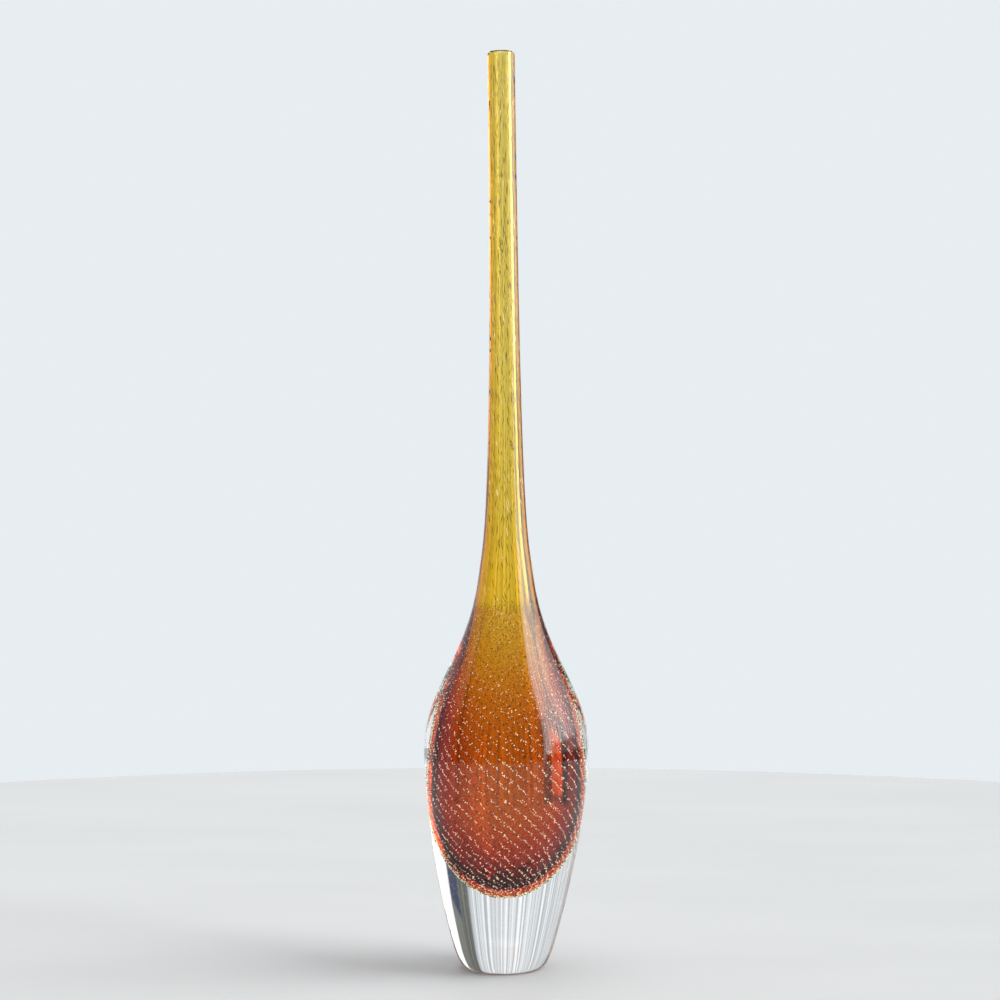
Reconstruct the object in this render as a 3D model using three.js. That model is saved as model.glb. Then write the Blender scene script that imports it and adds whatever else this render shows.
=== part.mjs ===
// Glass bud vase: a tall hand-blown vase with a long thin neck, an egg-shaped body and a heavy clear foot.
// It is made of four layers of glass, one inside another, each a closed body that is open at its top:
//   clear_casing  the outer clear glass, with the solid foot
//   bubble_veil   a thin clear layer that holds the spiral rows of air bubbles
//   amber_layer   the yellow-amber glass, from the bulb to the mouth
//   ruby_lining   a red-brown lining inside the bulb, seated in the amber
// Millimetres, +Z up. The origin is on the flat foot's level, under the middle of the body.

import * as THREE from "three";

// Outside
const VASE_HEIGHT = 580;
const FOOT_RADIUS = 22;
const FOOT_EDGE_RADIUS = 31.8;
const FOOT_EDGE_HEIGHT = 14;
const BODY_RADIUS = 52.3;
const BODY_LEVEL = 137;
const ROOT_RADIUS = 17.1;
const ROOT_LEVEL = 250;
const NECK_RADIUS = 8.6;
const LIP_ROUND = 1.2;
const LIP_SHARE = 0.8;

// Hollow
const BASE_THICKNESS = 48;
const BULB_DROP = 24;
const CAVITY_RADIUS = 30.3;
const CAVITY_ROOT_RADIUS = 11.3;
const BORE_RADIUS = 5;
const BORE_ROUND = 0.5;
const LINING_RISE = 90;

// Walls of the layers at the bulb's floor, the bulb's side, the neck's root and the mouth
const LAYER_GAP = 0.3;
const LINING_WALL = { floor: 3, side: 1.2, root: 0.4, neck: 0 };
const AMBER_WALL = { floor: 4, side: 1.4, root: 1.5, neck: 0.9 };
const VEIL_WALL = { floor: 0.8, side: 0.8, root: 0.7, neck: 0.5 };

// Hand-made lean: the foot sits a little to one side, and the neck leans the same way
const FOOT_OFFSET = 1.8;
const NECK_LEAN = 3.3;

// Lengths over which a curve runs straight on from its ends, and its slopes there as radius over height
const FOOT_EDGE_REACH = 4;
const FOOT_TOP_REACH = 10;
const FOOT_TOP_SLOPE = 0.3;
const BASE_REACH = 40;
const BODY_SHAPE = { below: 26, above: 42, root: 55, slope: -0.12 };
const BULB_SHAPE = { above: 58, root: 70, slope: -0.1 };
const ROOT_REACH = 19;
const NECK_TAPER = 0.92;

// Fineness of the faceted solids
const SECTIONS = 24;
const CURVE_STEPS = 10;
const FOOT_STEPS = 4;
const LIP_STEPS = 3;

const BULB_LEVEL = BODY_LEVEL - BULB_DROP;
const LINING_TOP = BODY_LEVEL + LINING_RISE;

const point = (radius, height) => new THREE.Vector2(radius, height);

// A smooth side through two ends, each with a second point that sets its direction.
function bend(start, startAim, endAim, end, steps = CURVE_STEPS) {
  return new THREE.CubicBezierCurve(start, startAim, endAim, end).getPoints(steps);
}

// Joins runs of points into one outline, without the doubled points where the runs meet.
function chain(...runs) {
  const points = [];
  for (const next of runs.flat()) {
    if (!points.length || points.at(-1).distanceTo(next) > 1e-6) points.push(next);
  }
  return points;
}

// The side from its widest level up to the neck's root.
function shoulder(widest, level, root, shape) {
  return bend(
    point(widest, level),
    point(widest, level + shape.above),
    point(root - shape.slope * shape.root, ROOT_LEVEL - shape.root),
    point(root, ROOT_LEVEL),
  );
}

// The neck's side from its root up to its top.
function neck(root, radius, top, shape) {
  const taper = NECK_TAPER * (top - ROOT_LEVEL);
  return bend(
    point(root, ROOT_LEVEL),
    point(root + shape.slope * ROOT_REACH, ROOT_LEVEL + ROOT_REACH),
    point(radius, top - taper),
    point(radius, top),
  );
}

// A rounded edge at the mouth, from one angle to another around a centre just below the top.
function mouthEdge(centreRadius, round, from, to) {
  const points = [];
  for (let i = 0; i <= LIP_STEPS; i++) {
    const angle = from + (to - from) * i / LIP_STEPS;
    const height = VASE_HEIGHT - round + round * Math.sin(angle);
    points.push(point(centreRadius + round * Math.cos(angle), height));
  }
  return points;
}

function outsideOutline() {
  const edgeTop = point(FOOT_EDGE_RADIUS, FOOT_EDGE_HEIGHT);
  const footEdge = bend(
    point(FOOT_RADIUS, 0),
    point(FOOT_RADIUS + FOOT_EDGE_REACH, 0),
    point(FOOT_EDGE_RADIUS - FOOT_TOP_SLOPE * FOOT_TOP_REACH, FOOT_EDGE_HEIGHT - FOOT_TOP_REACH),
    edgeTop,
    FOOT_STEPS,
  );
  const base = bend(
    edgeTop,
    point(FOOT_EDGE_RADIUS + FOOT_TOP_SLOPE * BASE_REACH, FOOT_EDGE_HEIGHT + BASE_REACH),
    point(BODY_RADIUS, BODY_LEVEL - BODY_SHAPE.below),
    point(BODY_RADIUS, BODY_LEVEL),
  );
  return chain(
    [point(0, 0)],
    footEdge,
    base,
    shoulder(BODY_RADIUS, BODY_LEVEL, ROOT_RADIUS, BODY_SHAPE),
    neck(ROOT_RADIUS, NECK_RADIUS, VASE_HEIGHT - lipRound, BODY_SHAPE),
    mouthEdge(NECK_RADIUS - lipRound, lipRound, 0, Math.PI / 2),
  );
}

// The face of a layer, from its lowest point on the axis up to the mouth. A face is known by the level
// of its floor and its radii at the bulb's side, the neck's root and the mouth. The bulb's floor is half
// an egg.
function layerOutline(face, top = VASE_HEIGHT) {
  const floor = [point(0, face.floor)];
  for (let i = 1; i <= CURVE_STEPS; i++) {
    const angle = (i / CURVE_STEPS) * Math.PI / 2;
    const height = BULB_LEVEL - (BULB_LEVEL - face.floor) * Math.cos(angle);
    floor.push(point(face.side * Math.sin(angle), height));
  }
  return chain(
    floor,
    shoulder(face.side, BULB_LEVEL, face.root, BULB_SHAPE),
    neck(face.root, face.neck, top, BULB_SHAPE),
  );
}

// The next face outwards, past a wall or a gap.
function outsideOf(face, wall) {
  return {
    floor: face.floor - wall.floor,
    side: face.side + wall.side,
    root: face.root + wall.root,
    neck: face.neck + wall.neck,
  };
}

// Where an outline crosses a height, and the parts of it below and above.
function crossing(outline, height) {
  const i = outline.findIndex((p) => p.y > height);
  const share = (height - outline[i - 1].y) / (outline[i].y - outline[i - 1].y);
  return outline[i - 1].clone().lerp(outline[i], share);
}

function below(outline, height) {
  return [...outline.filter((p) => p.y < height), crossing(outline, height)];
}

function above(outline, height) {
  return [crossing(outline, height), ...outline.filter((p) => p.y > height)];
}

// The faces, from the hollow outwards.
const GAP = { floor: LAYER_GAP, side: LAYER_GAP, root: LAYER_GAP, neck: LAYER_GAP };
const allFloors = LINING_WALL.floor + AMBER_WALL.floor + VEIL_WALL.floor + 3 * LAYER_GAP;
const hollow = {
  floor: BASE_THICKNESS + allFloors,
  side: CAVITY_RADIUS,
  root: CAVITY_ROOT_RADIUS,
  neck: BORE_RADIUS,
};
const liningOuter = outsideOf(hollow, LINING_WALL);
const amberSeat = outsideOf(liningOuter, GAP);
const amberOuter = outsideOf({ ...amberSeat, root: hollow.root, neck: hollow.neck }, AMBER_WALL);
const veilInner = outsideOf(amberOuter, GAP);
const veilOuter = outsideOf(veilInner, VEIL_WALL);
const casingInner = outsideOf(veilOuter, GAP);

// The lip is rounded as far as the casing's wall there allows.
const lipRound = Math.min(LIP_ROUND, LIP_SHARE * (NECK_RADIUS - casingInner.neck));

// Each layer's outline runs up its outer face, over its top and down its inner face.
function casing() {
  return chain(outsideOutline(), layerOutline(casingInner).reverse());
}

function veil() {
  return chain(layerOutline(veilOuter), layerOutline(veilInner).reverse());
}

function amber() {
  const seat = below(layerOutline(amberSeat), LINING_TOP);
  const bore = above(layerOutline(hollow, VASE_HEIGHT - BORE_ROUND), LINING_TOP);
  const boreEdge = mouthEdge(BORE_RADIUS + BORE_ROUND, BORE_ROUND, Math.PI / 2, Math.PI);
  return chain(layerOutline(amberOuter), boreEdge, bore.reverse(), seat.reverse());
}

function lining() {
  const top = LINING_TOP - LAYER_GAP;
  return chain(below(layerOutline(liningOuter), top), below(layerOutline(hollow), top).reverse());
}

// Sideways place of the vase's middle line at a height.
function middleLine(height) {
  const foot = 1 - THREE.MathUtils.smoothstep(height, 0, BODY_LEVEL);
  const lean = Math.max(0, height - BODY_LEVEL) / (VASE_HEIGHT - BODY_LEVEL);
  return -FOOT_OFFSET * foot - NECK_LEAN * lean ** 2;
}

function turned(name, outline, colour, roughness) {
  const geometry = new THREE.LatheGeometry(outline, SECTIONS);
  geometry.rotateX(Math.PI / 2);
  const position = geometry.attributes.position;
  for (let i = 0; i < position.count; i++) {
    position.setX(i, position.getX(i) + middleLine(position.getZ(i)));
  }
  geometry.computeVertexNormals();
  const material = new THREE.MeshStandardMaterial({ color: colour, roughness, metalness: 0 });
  const mesh = new THREE.Mesh(geometry, material);
  mesh.name = name;
  return mesh;
}

const vase = new THREE.Group();
vase.name = "glass_bud_vase";
vase.add(
  turned("clear_casing", casing(), "#dfe9ea", 0.03),
  turned("bubble_veil", veil(), "#e9d9b4", 0.08),
  turned("amber_layer", amber(), "#d9a125", 0.04),
  turned("ruby_lining", lining(), "#a8471c", 0.04),
);

export default vase;
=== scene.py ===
"""Glass bud vase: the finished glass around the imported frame, with its studio.

The vase is one piece of cased glass, blown in layers. Each layer is a closed body of its own:
    clear_casing   the outer clear glass, with the solid foot
    bulb_rows, shoulder_rows, neck_threads
                   the rows of air bubbles between the casing and the amber
    amber_layer    the yellow-amber glass, from the bulb to the mouth
    ruby_lining    the red-brown glass inside the bulb, which thins out upwards
"""

import math
import random
from collections import namedtuple

import bpy
import numpy as np
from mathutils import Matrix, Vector


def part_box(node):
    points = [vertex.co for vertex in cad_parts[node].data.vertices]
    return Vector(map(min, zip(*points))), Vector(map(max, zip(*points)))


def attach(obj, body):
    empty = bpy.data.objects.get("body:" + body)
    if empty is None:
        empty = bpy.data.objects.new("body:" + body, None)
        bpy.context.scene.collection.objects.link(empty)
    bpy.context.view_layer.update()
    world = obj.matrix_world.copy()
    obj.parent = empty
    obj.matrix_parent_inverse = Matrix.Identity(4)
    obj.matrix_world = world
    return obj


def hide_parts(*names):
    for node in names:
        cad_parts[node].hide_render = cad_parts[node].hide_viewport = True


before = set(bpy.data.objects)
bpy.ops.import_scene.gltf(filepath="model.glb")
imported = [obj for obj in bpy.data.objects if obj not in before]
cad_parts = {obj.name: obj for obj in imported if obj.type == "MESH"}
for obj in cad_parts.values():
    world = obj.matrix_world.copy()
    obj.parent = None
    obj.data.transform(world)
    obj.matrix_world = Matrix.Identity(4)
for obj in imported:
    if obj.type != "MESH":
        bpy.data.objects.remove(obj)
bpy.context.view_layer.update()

bl_info = {
    "name": "Glass Bud Vase",
    "version": (1, 0, 0),
    "blender": (4, 5, 0),
    "location": "View3D > Sidebar > Vase",
    "description": "Builds a cased glass bud vase with spiral rows of bubbles, and its studio",
    "category": "Add Mesh",
}

CASING_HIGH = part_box("clear_casing")[1]
VEIL_LOW, VEIL_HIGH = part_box("bubble_veil")
AMBER_LOW, AMBER_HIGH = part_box("amber_layer")
RUBY_LOW, RUBY_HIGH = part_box("ruby_lining")

MM = 0.001
QUARTER_ROUND = 0.5523  # handle length of a quarter of a circle, as a share of its radius
LAYER_GAP = 0.3 * MM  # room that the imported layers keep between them
SEAM = 0.02 * MM  # room between two fused faces
RUBY_EDGE = 0.22 * MM  # thickness of the ruby's top edge
LIP_ZONE = 1 * MM  # depth below the top in which a face that looks up belongs to the lip's top
LIP_UPWARD = 0.1  # least upward part of the normal of such a face
TOP_MARGIN = 0.01 * MM  # a face that is nearer the top than this isn't fused
CURVE_STEPS = 14
CUT_HALVINGS = 40
LEAN_LAYERS = 40
MERGE_DISTANCE = 1e-7
SMOOTH_ANGLE = math.radians(40)

# How far the curves run straight on from their ends, and their slopes there as radius over height
FOOT_REACH = 4 * MM
FOOT_EDGE_REACH = 10 * MM
FOOT_EDGE_SLOPE = 0.3
BASE_REACH = 40 * MM
BODY_REACH = 26 * MM
NECK_REACH = 19 * MM
NECK_TAPER = 0.92  # how far its curve aims straight down from the top, as a share of its height
ShoulderCurve = namedtuple("ShoulderCurve", "reach_above reach_below_root slope")
BODY_CURVE = ShoulderCurve(42 * MM, 55 * MM, -0.12)
BULB_CURVE = ShoulderCurve(58 * MM, 70 * MM, -0.1)


# Settings -----------------------------------------------------------------------------------------


def length(name, description, default):
    return bpy.props.FloatProperty(
        name=name, description=description, default=default, min=0, precision=4, unit="LENGTH"
    )


def factor(name, description, default, low=0.0, high=1.0):
    return bpy.props.FloatProperty(
        name=name, description=description, default=default, min=low, max=high
    )


def count(name, description, default, low=1):
    return bpy.props.IntProperty(name=name, description=description, default=default, min=low)


def colour(name, description, default):
    return bpy.props.FloatVectorProperty(
        name=name, description=description, default=default, size=3, min=0, subtype="COLOR"
    )


class VaseShape(bpy.types.PropertyGroup):
    """The outside of the vase and the lean of its middle line."""

    height: length("Height", "From the table to the lip", CASING_HIGH.z)
    foot: length("Foot radius", "Flat of the foot that rests on the table", 22 * MM)
    foot_edge: length("Foot edge radius", "Radius where the foot's edge ends", 31.8 * MM)
    foot_edge_level: length("Foot edge level", "Height where the foot's edge ends", 14 * MM)
    body: length("Body radius", "Widest radius of the casing", CASING_HIGH.y)
    body_level: length("Body level", "Height of the casing's widest part", 137 * MM)
    root: length("Root radius", "Radius where the shoulder turns into the neck", 17.1 * MM)
    root_level: length("Root level", "Height where the shoulder turns into the neck", 250 * MM)
    neck: length("Neck radius", "Radius of the neck at the lip", 8.6 * MM)
    lip_round: length("Lip rounding", "Rounding of the lip's outer edge", 1.2 * MM)
    bulb_level: length("Bulb level", "Height of the coloured bulb's widest part", 113 * MM)
    foot_offset: length("Foot offset", "How far the foot sits to one side", 1.8 * MM)
    neck_lean: length("Neck lean", "How far the neck leans to one side at the lip", 3.3 * MM)
    sides: count("Sides", "Steps of the spin round the axis", 160, 24)


class LayerShape(bpy.types.PropertyGroup):
    """Radii of the layers' faces at the neck's root and at the mouth."""

    hollow_root: length("Hollow at the root", "Radius of the hollow at the neck's root", 11.3 * MM)
    bore: length("Bore", "Radius of the hollow at the mouth", 5 * MM)
    bore_round: length("Bore rounding", "Rounding of the bore's edge", 0.5 * MM)
    amber_root: length("Amber at the root", "Radius of the amber at the neck's root", 12.8 * MM)
    amber_neck: length("Amber at the mouth", "Radius of the amber at the mouth", 5.9 * MM)
    rows_root: length("Rows at the root", "Radius of the rows at the neck's root", 13.45 * MM)
    rows_neck: length("Rows at the mouth", "Radius of the rows at the mouth", 6.45 * MM)
    casing_root: length("Casing at the root", "Inner radius of the casing there", 14.1 * MM)
    casing_neck: length("Casing at the mouth", "Inner radius of the casing there", 7 * MM)
    ruby_side: length("Ruby wall", "Thickness of the ruby at the bulb's side", 1.2 * MM)
    ruby_floor: length("Ruby floor", "Thickness of the ruby at the bulb's floor", 3 * MM)
    lip_depth: length("Lip depth", "Depth of the clear lip that closes the layers", 2.5 * MM)


class BubbleRows(bpy.types.PropertyGroup):
    """The air bubbles, which lie in rows that wind round the bulb and run up the neck, with painted
    glints and painted dark rims as their colours.
    """

    rows: count("Rows", "Rows side by side round the bulb", 26)
    spacing: length("Spacing", "Mean distance between bubbles along a row", 0.36 * MM)
    smallest: length("Smallest", "Radius of the smallest bubbles", 0.18 * MM)
    largest: length("Largest", "Radius of the largest bubbles", 0.4 * MM)
    spread: length("Spread", "How far bubbles stray from their row", 0.8 * MM)
    crowding: length("Crowding", "Distance between rows below which bubbles thin out", 3 * MM)
    # Painted light: pale is a painted glint and dark the painted shade of a bubble's dark rim; up the
    # backlit neck the painted glints give way to painted dark rims
    dark_low: factor("Dark at the bulb", "Share of the bulb's bubbles that look dark", 0.5)
    dark_high: factor("Dark at the neck", "Share of the neck's bubbles that look dark", 0.85)
    pale_level: length("Pale level", "Level where the bright bubbles begin to give way", 130 * MM)
    pale_fade: length("Pale fade", "Height over which the bright bubbles give way", 70 * MM)
    pale: colour("Pale", "Colour of the bright bubbles", (0.95, 0.80, 0.55))
    dark: colour("Dark", "Colour of the dark bubbles", (0.03, 0.015, 0.01))
    seed: count("Seed", "Seed of the random draws", 7, 0)


class GlassLooks(bpy.types.PropertyGroup):
    """Colours of the glass. A dye's strength is 1 less its colour, times its density, per metre."""

    bend: factor("Index", "How strongly the glass bends light", 1.5, 1.0, 2.0)
    amber: colour("Amber", "Colour that the amber glass lets through", (0.984, 0.845, 0.06))
    amber_density: factor("Amber density", "Strength of the amber dye", 1100, 0, 5000)
    ruby: colour("Ruby", "Colour that the ruby glass lets through", (0.83, 0.42, 0.01))
    ruby_density: factor("Ruby density", "Strength of the ruby dye", 1250, 0, 5000)
    inner_haze: factor("Inner haze", "Roughness of the hollow's wall", 0.07)


class StudioLooks(bpy.types.PropertyGroup):
    """The pale table, the plain wall and the soft windows that the glass mirrors."""

    table: length("Table radius", "Radius of the round table", 1.106)
    table_colour: colour("Table", "Colour of the table", (0.47, 0.48, 0.48))
    wall_colour: colour("Wall", "Colour of the plain wall", (0.80, 0.85, 0.88))
    window: factor("Window", "Brightness of the window on the right", 7.5, 0, 20)
    overhead: factor("Overhead", "Brightness of the soft light overhead", 3.0, 0, 20)


GROUPS = {
    "vase_shape": VaseShape,
    "vase_layers": LayerShape,
    "vase_bubbles": BubbleRows,
    "vase_glass": GlassLooks,
    "vase_studio": StudioLooks,
}


# Materials ----------------------------------------------------------------------------------------

CASING_WAVES = 0.05 * MM
HOLLOW_WAVES = 0.04 * MM
HANDLING_HAZE = 0.012
# Painted glow: the bubbles give off their painted colour as light, though they are no lamp, to stand
# for light that passes through them
PAINTED_BUBBLE_GLOW = 0.75
TABLE_CLOUDING = 0.03

# The sockets of a Mix node that mixes colours
MIX_SHARE, MIX_FIRST, MIX_SECOND, MIX_RESULT = 0, 6, 7, 2


class Value:
    """A number socket that adds Math nodes when it is used in an expression."""

    def __init__(self, tree, socket):
        self.tree = tree
        self.socket = socket

    def math(self, operation, first, second):
        inputs = {0: first, 1: second}
        return self.tree.value("ShaderNodeMath", {"operation": operation}, inputs)

    def __add__(self, other):
        return self.math("ADD", self, other)

    def __mul__(self, other):
        return self.math("MULTIPLY", self, other)

    __radd__ = __add__
    __rmul__ = __mul__

    def between(self, low, high, start=0.0, end=1.0):
        """start up to low, end from high on, and smooth between."""
        inputs = {"Value": self, "From Min": low, "From Max": high, "To Min": start, "To Max": end}
        return self.tree.value("ShaderNodeMapRange", {"interpolation_type": "SMOOTHSTEP"}, inputs)


class Tree:
    """Builds the node tree of a material or a world."""

    def __init__(self, owner):
        owner.use_nodes = True
        self.nodes = owner.node_tree.nodes
        self.links = owner.node_tree.links
        self.nodes.clear()

    def node(self, kind, settings=None, inputs=None, output=0):
        """Adds a node, sets it up, feeds its sockets and returns one of its outputs."""
        node = self.nodes.new(kind)
        for name, setting in (settings or {}).items():
            if name == "stops":
                self.set_ramp(node.color_ramp, setting)
            else:
                setattr(node, name, setting)
        for key, value in (inputs or {}).items():
            value = value.socket if isinstance(value, Value) else value
            if isinstance(value, bpy.types.NodeSocket):
                self.links.new(value, node.inputs[key])
            else:
                node.inputs[key].default_value = value
        return node.outputs[output] if node.outputs else None

    def value(self, kind, settings=None, inputs=None, output=0):
        return Value(self, self.node(kind, settings, inputs, output))

    def set_ramp(self, ramp, stops):
        while len(ramp.elements) > 1:
            ramp.elements.remove(ramp.elements[-1])
        for i, (place, shade) in enumerate(stops):
            stop = ramp.elements.new(place) if i else ramp.elements[0]
            stop.position = place
            stop.color = (*shade, 1)

    def mix(self, share, first, second, blend_type="MIX"):
        settings = {"data_type": "RGBA", "blend_type": blend_type}
        inputs = {MIX_SHARE: share, MIX_FIRST: first, MIX_SECOND: second}
        return self.node("ShaderNodeMix", settings, inputs, MIX_RESULT)

    def noise(self, scale, detail=2.0, stretch=(1, 1, 1)):
        place = self.node("ShaderNodeTexCoord", output="Object")
        place = self.node("ShaderNodeMapping", None, {"Vector": place, "Scale": stretch})
        inputs = {"Vector": place, "Scale": scale, "Detail": detail}
        return self.value("ShaderNodeTexNoise", None, inputs)

    def ripples(self, depth):
        """Faint uneven waves of glass that was blown and shaped by hand."""
        long_waves = self.noise(22.0, 1.0, (1, 1, 0.35))
        short_waves = self.noise(75.0, 1.0, (1, 1, 0.3))
        height = long_waves + short_waves * 0.3
        return self.node("ShaderNodeBump", None, {"Distance": depth, "Height": height})

    def finish(self, surface, volume=None):
        inputs = {"Surface": surface}
        if volume:
            inputs["Volume"] = volume
        self.node("ShaderNodeOutputMaterial", None, inputs)


def new_material(name):
    material = bpy.data.materials.new(name)
    return material, Tree(material)


def polished_glass(tree, index, tint, haze, wave_depth):
    """The surface of glass against air, with faint waves and a trace of handling."""
    handled = tree.noise(60.0, 3.0).between(0.55, 0.8)
    inputs = {
        "Base Color": (*tint, 1),
        "Roughness": handled * HANDLING_HAZE + haze,
        "IOR": index,
        "Transmission Weight": 1.0,
        "Normal": tree.ripples(wave_depth),
    }
    return tree.node("ShaderNodeBsdfPrincipled", None, inputs)


def clear_glass(looks):
    material, tree = new_material("clear_glass")
    tree.finish(polished_glass(tree, looks.bend, (0.985, 1.0, 0.995), 0.0, CASING_WAVES))
    return material


def fused_face():
    """A face where two layers are fused, so that light passes straight through."""
    material, tree = new_material("fused_face")
    tree.finish(tree.node("ShaderNodeBsdfTransparent"))
    return material


def dyed_glass(name, looks, dye, density):
    """Coloured glass. It bends light only at its free faces, and its dye darkens with depth."""
    material, tree = new_material(name)
    free = tree.node("ShaderNodeAttribute", {"attribute_name": "free"}, output="Fac")
    glass = polished_glass(tree, looks.bend, (1, 1, 1), looks.inner_haze, HOLLOW_WAVES)
    clear = tree.node("ShaderNodeBsdfTransparent")
    surface = tree.node("ShaderNodeMixShader", None, {0: free, 1: clear, 2: glass})
    inputs = {"Color": (*dye, 1), "Density": density}
    tree.finish(surface, tree.node("ShaderNodeVolumeAbsorption", None, inputs))
    return material


def bubble_glass():
    """Painted light on the beads that stand for trapped bubbles. A pale bead's colour is a painted
    glint and a dark bead's the painted shade of a bubble's dark rim; each glows with its colour.
    """
    material, tree = new_material("bubble_glass")
    glint_and_rim_shade = tree.node("ShaderNodeAttribute", {"attribute_name": "glint_and_rim_shade"}, output="Color")
    speck = tree.noise(900.0, 1.0).between(0.3, 0.7)
    inputs = {
        "Base Color": glint_and_rim_shade,
        "Metallic": 0.2,
        "Roughness": speck * 0.2 + 0.2,
        # Painted glow: the bead gives off its painted glint or dark rim colour as light
        "Emission Color": glint_and_rim_shade,
        "Emission Strength": PAINTED_BUBBLE_GLOW,
    }
    tree.finish(tree.node("ShaderNodeBsdfPrincipled", None, inputs))
    return material


def table_top(shade):
    """Pale honed stone with a soft cloudy grain."""
    material, tree = new_material("table_top")
    cloud = tree.noise(3.0, 4.0, (1, 2.5, 1)).between(0.2, 0.8)
    pale = (*((1 + TABLE_CLOUDING) * c for c in shade), 1)
    deep = (*((1 - TABLE_CLOUDING) * c for c in shade), 1)
    inputs = {"Base Color": tree.mix(cloud, deep, pale), "Roughness": 0.6}
    tree.finish(tree.node("ShaderNodeBsdfPrincipled", None, inputs))
    return material


# Outlines -----------------------------------------------------------------------------------------
# An outline is a run of Bezier pieces. Each is a start, two aims and an end, as (radius, height).


def straight(start, end):
    return [(start, start, end, end)]


def quarter(start, end, turned_at):
    """A quarter of a circle or an ellipse, whose tangents meet at turned_at."""

    def toward(point):
        return tuple(p + (t - p) * QUARTER_ROUND for p, t in zip(point, turned_at))

    return [(start, toward(start), toward(end), end)]


def backwards(pieces):
    return [piece[::-1] for piece in pieces[::-1]]


def bezier(piece, share):
    a, b, c, d = (np.array(p) for p in piece)
    rest = 1 - share
    return rest**3 * a + 3 * rest**2 * share * b + 3 * rest * share**2 * c + share**3 * d


def cut_at(piece, level):
    """Cuts a rising piece in two at a level, by halving the span that holds the cut."""
    low, high = 0.0, 1.0
    for _ in range(CUT_HALVINGS):
        share = (low + high) / 2
        low, high = (share, high) if bezier(piece, share)[1] < level else (low, share)
    a, b, c, d = (np.array(p) for p in piece)
    ab, bc, cd = (p + (q - p) * share for p, q in ((a, b), (b, c), (c, d)))
    abc, bcd = ab + (bc - ab) * share, bc + (cd - bc) * share
    middle = abc + (bcd - abc) * share
    parts = (a, ab, abc, middle), (middle, bcd, cd, d)
    return [tuple(tuple(point.tolist()) for point in part) for part in parts]


def shoulder(shape, side, level, root, curve):
    """The side from its widest level up to the neck's root."""
    side_aim = (side, level + curve.reach_above)
    below = curve.reach_below_root
    root_aim = (root - curve.slope * below, shape.root_level - below)
    return [((side, level), side_aim, root_aim, (root, shape.root_level))]


def neck(shape, root, radius, top, curve):
    """The neck's side from its root up to its top."""
    root_aim = (root + curve.slope * NECK_REACH, shape.root_level + NECK_REACH)
    top_aim = (radius, top - NECK_TAPER * (top - shape.root_level))
    return [((root, shape.root_level), root_aim, top_aim, (radius, top))]


def outside(shape):
    """The casing's outer face, from the middle of the foot up to the lip's rounded edge."""
    foot, edge, edge_level = shape.foot, shape.foot_edge, shape.foot_edge_level
    foot_end, edge_end = (foot, 0), (edge, edge_level)
    edge_aim = (edge - FOOT_EDGE_SLOPE * FOOT_EDGE_REACH, edge_level - FOOT_EDGE_REACH)
    base_aim = (edge + FOOT_EDGE_SLOPE * BASE_REACH, edge_level + BASE_REACH)
    body_aim = (shape.body, shape.body_level - BODY_REACH)
    top = shape.height - shape.lip_round
    lip_start, lip_end = (shape.neck, top), (shape.neck - shape.lip_round, shape.height)
    return (
        straight((0, 0), foot_end)
        + [(foot_end, (foot + FOOT_REACH, 0), edge_aim, edge_end)]
        + [(edge_end, base_aim, body_aim, (shape.body, shape.body_level))]
        + shoulder(shape, shape.body, shape.body_level, shape.root, BODY_CURVE)
        + neck(shape, shape.root, shape.neck, top, BODY_CURVE)
        + quarter(lip_start, lip_end, (shape.neck, shape.height))
    )


def bulb_floor(shape, floor, side):
    return quarter((0, floor), (side, shape.bulb_level), (side, floor))


def bulb_shoulder(shape, side, root):
    return shoulder(shape, side, shape.bulb_level, root, BULB_CURVE)


def layer_face(shape, floor, side, root, neck_radius, top):
    """A layer's whole face, from its lowest point on the axis up the bulb and the neck."""
    return (
        bulb_floor(shape, floor, side)
        + bulb_shoulder(shape, side, root)
        + neck(shape, root, neck_radius, top, BULB_CURVE)
    )


# Modelling ----------------------------------------------------------------------------------------


def deselect_all():
    if bpy.context.object and bpy.context.object.mode != "OBJECT":
        bpy.ops.object.mode_set(mode="OBJECT")
    bpy.ops.object.select_all(action="DESELECT")


def draw(pieces):
    """Draws an outline as a Bezier curve in the XZ plane and makes it a line of mesh edges."""
    knots = [[pieces[0][0]] * 3]
    for start, first_aim, last_aim, end in pieces:
        if math.dist(start, knots[-1][1]) > MERGE_DISTANCE:
            knots.append([start, start, start])
        knots[-1][2] = first_aim
        knots.append([last_aim, end, end])
    deselect_all()
    bpy.ops.curve.primitive_bezier_curve_add(location=(0, 0, 0))
    line = bpy.context.object
    line.data.dimensions = "3D"
    line.data.resolution_u = CURVE_STEPS
    spline = line.data.splines[0]
    spline.bezier_points.add(len(knots) - len(spline.bezier_points))
    for point, places in zip(spline.bezier_points, knots):
        point.handle_left_type = point.handle_right_type = "FREE"
        before, at, after = ((radius, 0, level) for radius, level in places)
        point.co = at
        point.handle_left = before
        point.handle_right = after
    bpy.ops.object.convert(target="MESH")
    return bpy.context.object


def spin(name, pieces, sides):
    """Spins an outline round the Z axis into a closed body."""
    piece = draw(pieces)
    piece.name = piece.data.name = name
    bpy.ops.object.mode_set(mode="EDIT")
    bpy.ops.mesh.select_all(action="SELECT")
    bpy.ops.mesh.spin(steps=sides, angle=2 * math.pi, center=(0, 0, 0), axis=(0, 0, 1))
    bpy.ops.mesh.select_all(action="SELECT")
    bpy.ops.mesh.remove_doubles(threshold=MERGE_DISTANCE)
    bpy.ops.mesh.normals_make_consistent(inside=False)
    bpy.ops.object.mode_set(mode="OBJECT")
    bpy.ops.object.shade_smooth_by_angle(angle=SMOOTH_ANGLE)
    return piece


def middle_line(shape, level):
    """Sideways place of the vase's middle at a level."""
    rise = min(max(level / shape.body_level, 0), 1)
    foot = 1 - rise * rise * (3 - 2 * rise)
    lean = max(0, level - shape.body_level) / (shape.height - shape.body_level)
    return -shape.foot_offset * foot - shape.neck_lean * lean**2


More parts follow.
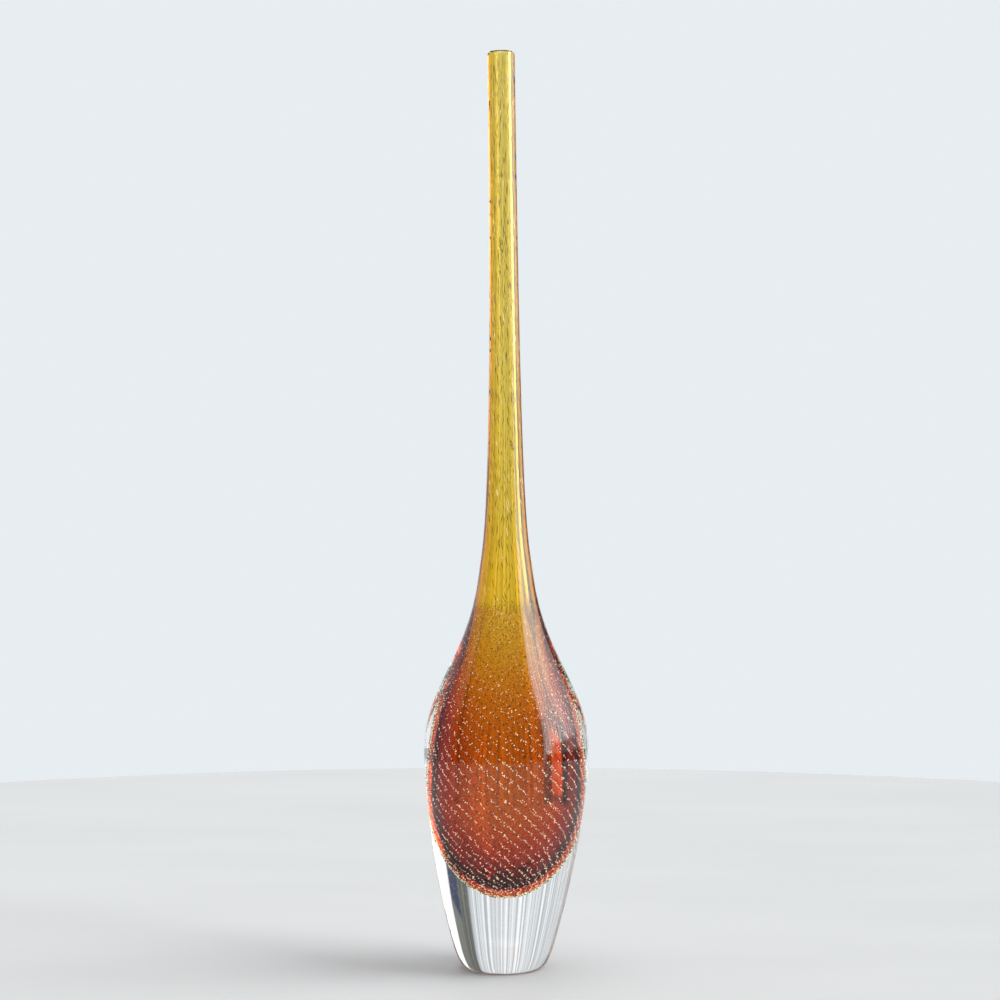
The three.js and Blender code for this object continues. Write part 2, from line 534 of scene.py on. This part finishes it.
def lean(piece, shape):
    """Leans a straight piece with a lattice whose layers follow the middle line."""
    deselect_all()
    bpy.ops.object.add(type="LATTICE", location=(0, 0, shape.height / 2))
    cage = bpy.context.object
    cage.scale = (3 * shape.body, 3 * shape.body, shape.height)
    cage.data.points_u, cage.data.points_v, cage.data.points_w = 2, 2, LEAN_LAYERS
    for axis in "uvw":
        setattr(cage.data, f"interpolation_type_{axis}", "KEY_LINEAR")
    for point in cage.data.points:
        level = (point.co.z + 0.5) * shape.height
        point.co_deform.x += middle_line(shape, level) / cage.scale.x
    deselect_all()
    piece.select_set(True)
    bpy.context.view_layer.objects.active = piece
    modifier = piece.modifiers.new("Lean", "LATTICE")
    modifier.object = cage
    bpy.ops.object.modifier_apply(modifier=modifier.name)
    bpy.data.objects.remove(cage)


def faces_hollow(face, shape):
    """True on a face that looks into the hollow or lies on top of the lip."""
    centre, normal = face.center, face.normal
    if centre.z < shape.bulb_level:
        return normal.z > 0
    on_top = centre.z > shape.height - LIP_ZONE and normal.z > LIP_UPWARD
    return on_top or normal.x * centre.x + normal.y * centre.y < 0


def mark_free(piece, is_free):
    """Notes which faces are glass against air, for the dyed glass."""
    free = piece.data.attributes.new("free", "FLOAT", "FACE")
    free.data.foreach_set("value", [float(is_free(face)) for face in piece.data.polygons])


def place(piece, node, slot):
    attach(piece, "root")
    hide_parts(node)


def model_casing(shape, layers):
    """The clear glass, whose lip closes over the layers inside it."""
    top, depth = shape.height, layers.lip_depth
    lip_out, lip_in = (shape.neck - shape.lip_round, top), (layers.amber_neck + SEAM, top)
    lip_base, bore_top = (lip_in[0], top - depth), (layers.casing_neck, top - 2 * depth)
    floor, side = VEIL_LOW.z - LAYER_GAP, VEIL_HIGH.y + LAYER_GAP
    inside = layer_face(shape, floor, side, layers.casing_root, layers.casing_neck, bore_top[1])
    lip = straight(lip_out, lip_in) + straight(lip_in, lip_base) + straight(lip_base, bore_top)
    casing = spin("clear_casing", outside(shape) + lip + backwards(inside), shape.sides)
    for face in casing.data.polygons:
        fused = faces_hollow(face, shape) and face.center.z < top - TOP_MARGIN
        face.material_index = int(fused)
    return casing


def hollow_shoulder(shape, layers):
    """The hollow's shoulder, in two parts that meet at the ruby's top."""
    side = RUBY_HIGH.y - layers.ruby_side
    return cut_at(bulb_shoulder(shape, side, layers.hollow_root)[0], RUBY_HIGH.z)


def ruby_face(shape, layers, room):
    """The ruby's outer face, or the amber's seat for it with some room between them."""
    start, start_aim, end_aim, end = hollow_shoulder(shape, layers)[0]
    wall, edge = layers.ruby_side + room, RUBY_EDGE + room
    flank = (
        (start[0] + wall, start[1]),
        (start_aim[0] + wall, start_aim[1]),
        (end_aim[0] + edge, end_aim[1]),
        (end[0] + edge, end[1]),
    )
    return bulb_floor(shape, RUBY_LOW.z - room, flank[0][0]) + [flank]


def model_amber(shape, layers):
    """The amber, with a seat for the ruby in its bulb and a rounded edge at the bore."""
    top, bore, edge = shape.height, layers.bore, layers.bore_round
    outer = layer_face(
        shape, AMBER_LOW.z, AMBER_HIGH.y, layers.amber_root, layers.amber_neck, top
    )
    lip_in, bore_top = (bore + edge, top), (bore, top - edge)
    lip = straight((layers.amber_neck, top), lip_in) + quarter(lip_in, bore_top, (bore, top))
    seat = ruby_face(shape, layers, SEAM)
    hollow = hollow_shoulder(shape, layers)[1]
    bore_side = neck(shape, layers.hollow_root, bore, top - edge, BULB_CURVE)
    inside = seat + straight(seat[-1][-1], hollow[0]) + [hollow] + bore_side
    amber = spin("amber_layer", outer + lip + backwards(inside), shape.sides)
    mark_free(amber, lambda face: faces_hollow(face, shape) and face.center.z > RUBY_HIGH.z)
    return amber


def model_ruby(shape, layers):
    """The ruby, a cup whose wall thins out to its top edge."""
    outer = ruby_face(shape, layers, 0)
    flank = hollow_shoulder(shape, layers)[0]
    inside = bulb_floor(shape, RUBY_LOW.z + layers.ruby_floor, flank[0][0]) + [flank]
    edge = straight(outer[-1][-1], flank[-1])
    ruby = spin("ruby_lining", outer + edge + backwards(inside), shape.sides)
    mark_free(ruby, lambda face: faces_hollow(face, shape))
    return ruby


# Bubbles ------------------------------------------------------------------------------------------

UNEVENNESS = (0.4, 1.6)  # least and most distance to the next bubble, as shares of the spacing
LEAST_RADIUS = 3 * MM  # nearer the axis than this, straying turns a bubble no further round
UPPER_LOSS = 0.2  # share of its size that a bubble loses above the pale level
ROUND_STRETCH = 1.1  # length along the row, times the width
THREAD_STRETCH = (8, 26)
THREAD_WIDTH = 0.6  # times the width of a round bubble
THREAD_SPACING = 22  # times the spacing of round bubbles
THREADS_DROP = 20 * MM  # how far below the neck's root the threads begin
# Painted glints: the least and most brightness of the pale bubbles' painted highlight colour
PAINTED_GLINT_LEVELS = (0.7, 1.0)  # least and most brightness of the bright bubbles


class RowPath:
    """The path of a row of bubbles up the bulb and the neck, at even steps along the glass."""

    STEP = 0.2 * MM
    # Angle of the rows from level, in degrees, at heights in millimetres
    HEIGHTS = (0, 100, 190, 250, 580)
    ANGLES = (58, 42, 44, 78, 88.5)
    POLE_RADIUS = 9 * MM  # within it, near the bulb's floor, the rows turn no faster
    CURVE_POINTS = 200

    def __init__(self, shape, layers):
        floor = (VEIL_LOW.z + AMBER_LOW.z) / 2
        side = (VEIL_HIGH.y + AMBER_HIGH.y) / 2
        top = shape.height - 2 * layers.lip_depth
        face = layer_face(shape, floor, side, layers.rows_root, layers.rows_neck, top)
        shares = np.linspace(0, 1, self.CURVE_POINTS)[:, None]
        points = np.vstack([bezier(piece, shares) for piece in face])
        far = np.concatenate([[0], np.cumsum(np.hypot(*np.diff(points, axis=0).T))])
        self.far = np.arange(0, far[-1], self.STEP)
        self.radius, self.level = (np.interp(self.far, far, points[:, i]) for i in (0, 1))
        self.steepness = np.radians(np.interp(self.level / MM, self.HEIGHTS, self.ANGLES))
        turn = self.STEP / np.tan(self.steepness) / np.maximum(self.radius, self.POLE_RADIUS)
        self.turn = -np.cumsum(turn)
        slope = np.gradient(points[:, 0], far), np.gradient(points[:, 1], far)
        self.outward = np.interp(self.far, far, slope[0])
        self.upward = np.interp(self.far, far, slope[1])

    def frame(self, at, angle):
        """A bubble's place and its axes: across the row, out of the glass and along the row."""
        round_x, round_y = math.sin(angle), -math.cos(angle)
        out = Vector((round_x, round_y, 0))
        sideways = Vector((-round_y, round_x, 0))
        up = out * self.outward[at] + Vector((0, 0, self.upward[at]))
        steep = self.steepness[at]
        along = up * math.sin(steep) - sideways * math.cos(steep)
        along.normalize()
        away = sideways.cross(up).normalized()
        centre = out * self.radius[at] + Vector((0, 0, self.level[at]))
        return centre, along.cross(away), away, along


def bubble_places(path, looks, low, high, drawn_out):
    """Draws the places and sizes of the bubbles between two levels, row by row."""
    draw_from = random.Random(looks.seed + round(low / MM))
    spacing = looks.spacing * (THREAD_SPACING if drawn_out else 1)
    places = []
    for row in range(looks.rows):
        along = draw_from.random() * spacing
        while (at := int(along / path.STEP)) < len(path.far):
            along += spacing * draw_from.uniform(*UNEVENNESS)
            between = 2 * math.pi * path.radius[at] / looks.rows
            crowded = not drawn_out and draw_from.random() > between / looks.crowding
            if crowded or not low <= path.level[at] < high:
                continue
            rise = min(max((path.level[at] - looks.pale_level) / looks.pale_fade, 0), 1)
            stray = draw_from.gauss(0, looks.spread) * (1 + rise)
            stray /= max(path.radius[at], LEAST_RADIUS)
            angle = path.turn[at] + 2 * math.pi * row / looks.rows + stray
            size = draw_from.uniform(looks.smallest, looks.largest) * (1 - UPPER_LOSS * rise)
            # Painted light: higher up, against the backlit neck, more bubbles get the painted dark
            # rim instead of a pale painted glint
            dark = draw_from.random() < looks.dark_low + rise * (looks.dark_high - looks.dark_low)
            stretch = ROUND_STRETCH
            if drawn_out:
                size *= THREAD_WIDTH
                stretch = draw_from.uniform(*THREAD_STRETCH)
            places.append((path.frame(at, angle), size, stretch, dark))
    return places


def model_bubble():
    """One small bubble, blown a little flat."""
    deselect_all()
    bpy.ops.mesh.primitive_ico_sphere_add(subdivisions=1, radius=1, location=(0, 0, 0))
    bpy.ops.object.mode_set(mode="EDIT")
    bpy.ops.mesh.select_all(action="SELECT")
    bpy.ops.transform.resize(value=(1, 0.8, 1))
    bpy.ops.object.mode_set(mode="OBJECT")
    return bpy.context.object


def model_bubbles(name, places, looks):
    """Copies the one bubble to every place, as one piece that holds each bubble's painted light: a
    pale painted glint, or the painted shade of a dark rim for the dark ones.
    """
    bubble = model_bubble()
    points = np.array([vertex.co for vertex in bubble.data.vertices])
    faces = np.array([face.vertices for face in bubble.data.polygons])
    bpy.data.objects.remove(bubble)
    corners, sides, glint_and_rim_shades = [], [], []
    glint_draw = random.Random(looks.seed)
    for i, ((centre, across, away, along), size, stretch, dark) in enumerate(places):
        axes = np.array([across, away, along * stretch]) * size
        corners.append(points @ axes + np.array(centre))
        sides.append(faces + i * len(points))
        # Painted light: a pale bubble gets a painted glint of random brightness, a dark one the
        # painted shade of a bubble's dark rim
        light = glint_draw.uniform(*PAINTED_GLINT_LEVELS)
        glint_and_rim_shade = looks.dark if dark else [light * c for c in looks.pale]
        glint_and_rim_shades.append([[*glint_and_rim_shade, 1]] * len(points))
    mesh = bpy.data.meshes.new(name)
    mesh.from_pydata(np.concatenate(corners).tolist(), [], np.concatenate(sides).tolist())
    colours = mesh.color_attributes.new("glint_and_rim_shade", "FLOAT_COLOR", "POINT")
    colours.data.foreach_set("color", np.array(glint_and_rim_shades, dtype=np.float32).ravel())
    mesh.shade_smooth()
    piece = bpy.data.objects.new(name, mesh)
    bpy.context.scene.collection.objects.link(piece)
    return piece


# Studio -------------------------------------------------------------------------------------------
# Round the vase, light is placed by degrees from straight behind it, towards the right. Its height is
# the upward part of its direction: 0 is level and 1 is straight up.

OVERHEAD_EDGE = (0.85, 0.95)
FOLDS = 170  # fineness of the curtains' folds round the whole turn
FOLD_CONTRAST = (0.3, 0.7)
FOLD_LIGHT = (0.56, 1.08)

CAMERA_PLACE = (-0.004, -1.49, 0.296)
CAMERA_LENS = 84.6
CAMERA_SENSOR = 36

# Patches over the bands of light. Each has the degrees over which it fades in and out, the heights
# over which it fades, whether it lies above or below them, and its light.
Patch = namedtuple("Patch", "starts ends heights above light")
PATCHES = (
    Patch((33.12, 34.2), (44.64, 45.72), (0.115, 0.13), True, (0.20, 0.21, 0.18)),
    Patch((54, 63), (108, 122.4), (0.03, 0.12), False, (1.3, 1.3, 1.35)),
    Patch((45, 46.8), (122.4, 126), (-0.06, -0.02), False, (0.28, 0.29, 0.33)),
)


def light_bands(window):
    """The light from all round: curtains behind, a bright window on the right, dark elsewhere."""
    return (
        (-180, (0.10, 0.10, 0.11)),
        (-100, (0.10, 0.10, 0.11)),
        (-95, (0.55, 0.57, 0.60)),
        (-66, (0.55, 0.57, 0.60)),
        (-60, (0.90, 0.93, 0.96)),
        (-40, (0.80, 0.84, 0.88)),
        (-12, (0.95, 0.97, 1.0)),
        (12, (0.88, 0.91, 0.94)),
        (22, (0.80, 0.84, 0.88)),
        (25, (0.16, 0.17, 0.15)),
        (32, (0.20, 0.21, 0.18)),
        (34, (0.05, 0.07, 0.14)),
        (44, (0.06, 0.08, 0.15)),
        (47, (1.6, 1.6, 1.6)),
        (66, (3.4, 3.4, 3.5)),
        (78, (5.2, 5.1, 5.2)),
        (84, (window, window, window)),
        (122, (window, window, window)),
        (128, (0.15, 0.15, 0.16)),
        (180, (0.10, 0.10, 0.11)),
    )


def turn_share(degrees):
    """The share of the whole turn that starts straight in front of the vase."""
    return (degrees + 180) / 360


def patch_mask(patch, angle, height):
    """1 inside a patch and 0 outside it."""
    starts = angle.between(*(turn_share(degrees) for degrees in patch.starts))
    ends = angle.between(*(turn_share(degrees) for degrees in patch.ends), 1.0, 0.0)
    levels = (0.0, 1.0) if patch.above else (1.0, 0.0)
    return height.between(*patch.heights, *levels) * starts * ends


def set_world(scene, studio):
    """Soft light around and above the vase, with a plain wall for what is seen straight on."""
    world = bpy.data.worlds.new("studio")
    scene.world = world
    tree = Tree(world)
    toward = tree.node("ShaderNodeTexCoord", output="Generated")
    x, y, z = (
        tree.value("ShaderNodeSeparateXYZ", None, {0: toward}, output=axis) for axis in range(3)
    )
    angle = x.math("ARCTAN2", x, y) * (0.5 / math.pi) + 0.5
    stops = [(turn_share(degrees), shade) for degrees, shade in light_bands(studio.window)]
    around = tree.node("ShaderNodeValToRGB", {"stops": stops}, {0: angle})
    folds = tree.value(
        "ShaderNodeTexNoise", {"noise_dimensions": "1D"}, {"W": angle, "Scale": FOLDS}
    )
    folds = folds.between(*FOLD_CONTRAST, *FOLD_LIGHT)
    around = tree.mix(1.0, around, folds.socket, "MULTIPLY")
    overhead = (*[studio.overhead] * 3, 1)
    light = tree.mix(z.between(*OVERHEAD_EDGE).socket, around, overhead)
    for patch in PATCHES:
        light = tree.mix(patch_mask(patch, angle, z).socket, light, (*patch.light, 1))
    seen = tree.node("ShaderNodeLightPath", output="Is Camera Ray")
    light = tree.mix(seen, light, (*studio.wall_colour, 1))
    background = tree.node("ShaderNodeBackground", None, {"Color": light})
    tree.node("ShaderNodeOutputWorld", None, {"Surface": background})


def set_camera(scene):
    bpy.ops.object.camera_add(location=CAMERA_PLACE, rotation=(math.pi / 2, 0, 0))
    camera = bpy.context.object
    camera.name = "camera"
    camera.data.lens = CAMERA_LENS
    camera.data.sensor_width = CAMERA_SENSOR
    scene.camera = camera


def set_light_paths(scene):
    """Lets light through all the layers of glass, and shows colours as they are."""
    scene.cycles.max_bounces = 40
    scene.cycles.transmission_bounces = 40
    scene.cycles.transparent_max_bounces = 64
    scene.cycles.glossy_bounces = 12
    scene.view_settings.view_transform = "Standard"


# Operators ----------------------------------------------------------------------------------------


class VASE_OT_casing(bpy.types.Operator):
    """Models the clear casing with its solid foot"""

    bl_idname = "vase.casing"
    bl_label = "Clear Casing"

    def execute(self, context):
        scene = context.scene
        casing = model_casing(scene.vase_shape, scene.vase_layers)
        lean(casing, scene.vase_shape)
        casing.data.materials.append(clear_glass(scene.vase_glass))
        casing.data.materials.append(fused_face())
        place(casing, "clear_casing", "clear_glass")
        return {"FINISHED"}


class VASE_OT_amber(bpy.types.Operator):
    """Models the amber layer"""

    bl_idname = "vase.amber"
    bl_label = "Amber Layer"

    def execute(self, context):
        scene, looks = context.scene, context.scene.vase_glass
        amber = model_amber(scene.vase_shape, scene.vase_layers)
        lean(amber, scene.vase_shape)
        amber.data.materials.append(
            dyed_glass("amber_glass", looks, looks.amber, looks.amber_density)
        )
        place(amber, "amber_layer", "amber_glass")
        return {"FINISHED"}


class VASE_OT_ruby(bpy.types.Operator):
    """Models the ruby lining of the bulb"""

    bl_idname = "vase.ruby"
    bl_label = "Ruby Lining"

    def execute(self, context):
        scene, looks = context.scene, context.scene.vase_glass
        ruby = model_ruby(scene.vase_shape, scene.vase_layers)
        lean(ruby, scene.vase_shape)
        ruby.data.materials.append(dyed_glass("ruby_glass", looks, looks.ruby, looks.ruby_density))
        place(ruby, "ruby_lining", "ruby_glass")
        return {"FINISHED"}


class VASE_OT_bubbles(bpy.types.Operator):
    """Models the rows of bubbles round the bulb, up the shoulder and along the neck"""

    bl_idname = "vase.bubbles"
    bl_label = "Bubble Rows"

    def execute(self, context):
        scene, shape = context.scene, context.scene.vase_shape
        path = RowPath(shape, scene.vase_layers)
        looks = scene.vase_bubbles
        threads_level = shape.root_level - THREADS_DROP
        # The levels between which each piece's bubbles lie, and whether they are drawn out
        spans = {
            "bulb_rows": (0, shape.bulb_level, False),
            "shoulder_rows": (shape.bulb_level, threads_level, False),
            "neck_threads": (threads_level, shape.height, True),
        }
        painted_light = bubble_glass()
        for name, span in spans.items():
            piece = model_bubbles(name, bubble_places(path, looks, *span), looks)
            lean(piece, shape)
            piece.data.materials.append(painted_light)
            place(piece, "bubble_veil", "bubble_glass")
        return {"FINISHED"}


class VASE_OT_studio(bpy.types.Operator):
    """Sets up the pale table, the soft light around it and the camera"""

    bl_idname = "vase.studio"
    bl_label = "Studio"

    def execute(self, context):
        studio = context.scene.vase_studio
        deselect_all()
        bpy.ops.mesh.primitive_circle_add(
            vertices=256, radius=studio.table, fill_type="NGON", location=(0, 0, -SEAM)
        )
        table = context.object
        table.name = "table_top"
        table.data.materials.append(table_top(studio.table_colour))
        set_world(context.scene, studio)
        set_camera(context.scene)
        set_light_paths(context.scene)
        return {"FINISHED"}


OPERATORS = (VASE_OT_casing, VASE_OT_amber, VASE_OT_ruby, VASE_OT_bubbles, VASE_OT_studio)


class VASE_PT_panel(bpy.types.Panel):
    """Lists the vase's operators and settings"""

    bl_idname = "VASE_PT_panel"
    bl_label = "Glass Bud Vase"
    bl_space_type = "VIEW_3D"
    bl_region_type = "UI"
    bl_category = "Vase"

    def draw(self, context):
        for operator in OPERATORS:
            self.layout.operator(operator.bl_idname)
        for name, group in GROUPS.items():
            box = self.layout.box()
            for setting in group.__annotations__:
                box.prop(getattr(context.scene, name), setting)


CLASSES = (*GROUPS.values(), *OPERATORS, VASE_PT_panel)


def register():
    for item in CLASSES:
        bpy.utils.register_class(item)
    for name, group in GROUPS.items():
        setattr(bpy.types.Scene, name, bpy.props.PointerProperty(type=group))


def unregister():
    for name in GROUPS:
        delattr(bpy.types.Scene, name)
    for item in reversed(CLASSES):
        bpy.utils.unregister_class(item)


def main():
    register()
    bpy.ops.vase.casing()
    bpy.ops.vase.amber()
    bpy.ops.vase.ruby()
    bpy.ops.vase.bubbles()
    bpy.ops.vase.studio()


if __name__ == "__main__":
    main()
